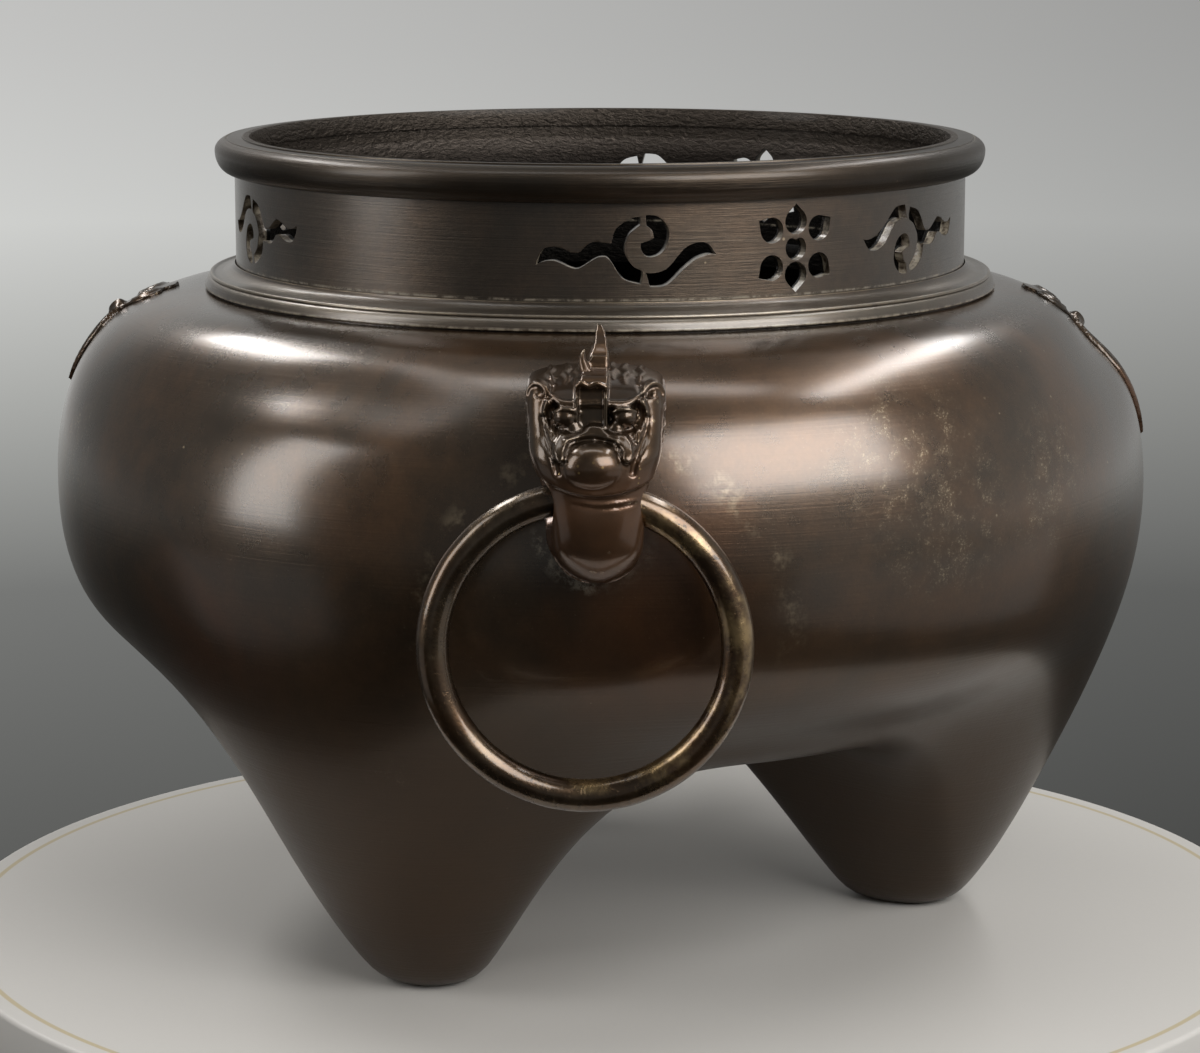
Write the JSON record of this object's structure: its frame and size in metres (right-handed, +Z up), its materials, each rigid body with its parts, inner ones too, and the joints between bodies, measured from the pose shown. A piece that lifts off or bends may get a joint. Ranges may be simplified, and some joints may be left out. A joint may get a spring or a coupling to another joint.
{
  "type": "tea brazier",
  "caption": "Cast bronze tea brazier with a round belly on hollow pouch legs, a pierced neck, a rolled rim that carries the kettle, and hanging rings in beast-head lugs.",
  "frame": {"origin": "on the floor under the middle of the bowl", "axes": "+Z up; -Y towards the front leg; the lugs and their rings lie on the X axis"},
  "size_m": [0.416, 0.3643, 0.262],
  "materials": {
    "patinated_bronze": "satin dark brown patina on cast bronze",
    "worn_bronze": "dark patina rubbed bright where it is handled",
    "rivet_bronze": "hammered, dull"
  },
  "bodies": {
    "brazier": {"body_shell": "patinated_bronze", "shoulder_collar": "patinated_bronze", "neck_band": "patinated_bronze", "rim_ring": "patinated_bronze", "lug_right": "patinated_bronze", "rove_right_upper": "rivet_bronze", "rove_right_lower": "rivet_bronze", "lug_left": "patinated_bronze", "rove_left_upper": "rivet_bronze", "rove_left_lower": "rivet_bronze", "mount_front": "patinated_bronze", "mount_back": "patinated_bronze"},
    "right_handle_ring": {"ring_right": "worn_bronze"},
    "left_handle_ring": {"ring_left": "worn_bronze"}
  },
  "joints": [
    {"name": "right_ring_swing", "type": "hinge", "parent": "brazier", "child": "right_handle_ring", "pos_m": [0.19004, 0, 0.17343], "axis": [0, -1, 0], "range_deg": [-9, 170]},
    {"name": "left_ring_swing", "type": "hinge", "parent": "brazier", "child": "left_handle_ring", "pos_m": [-0.19004, 0, 0.17343], "axis": [0, 1, 0], "range_deg": [-9, 170]}
  ]
}
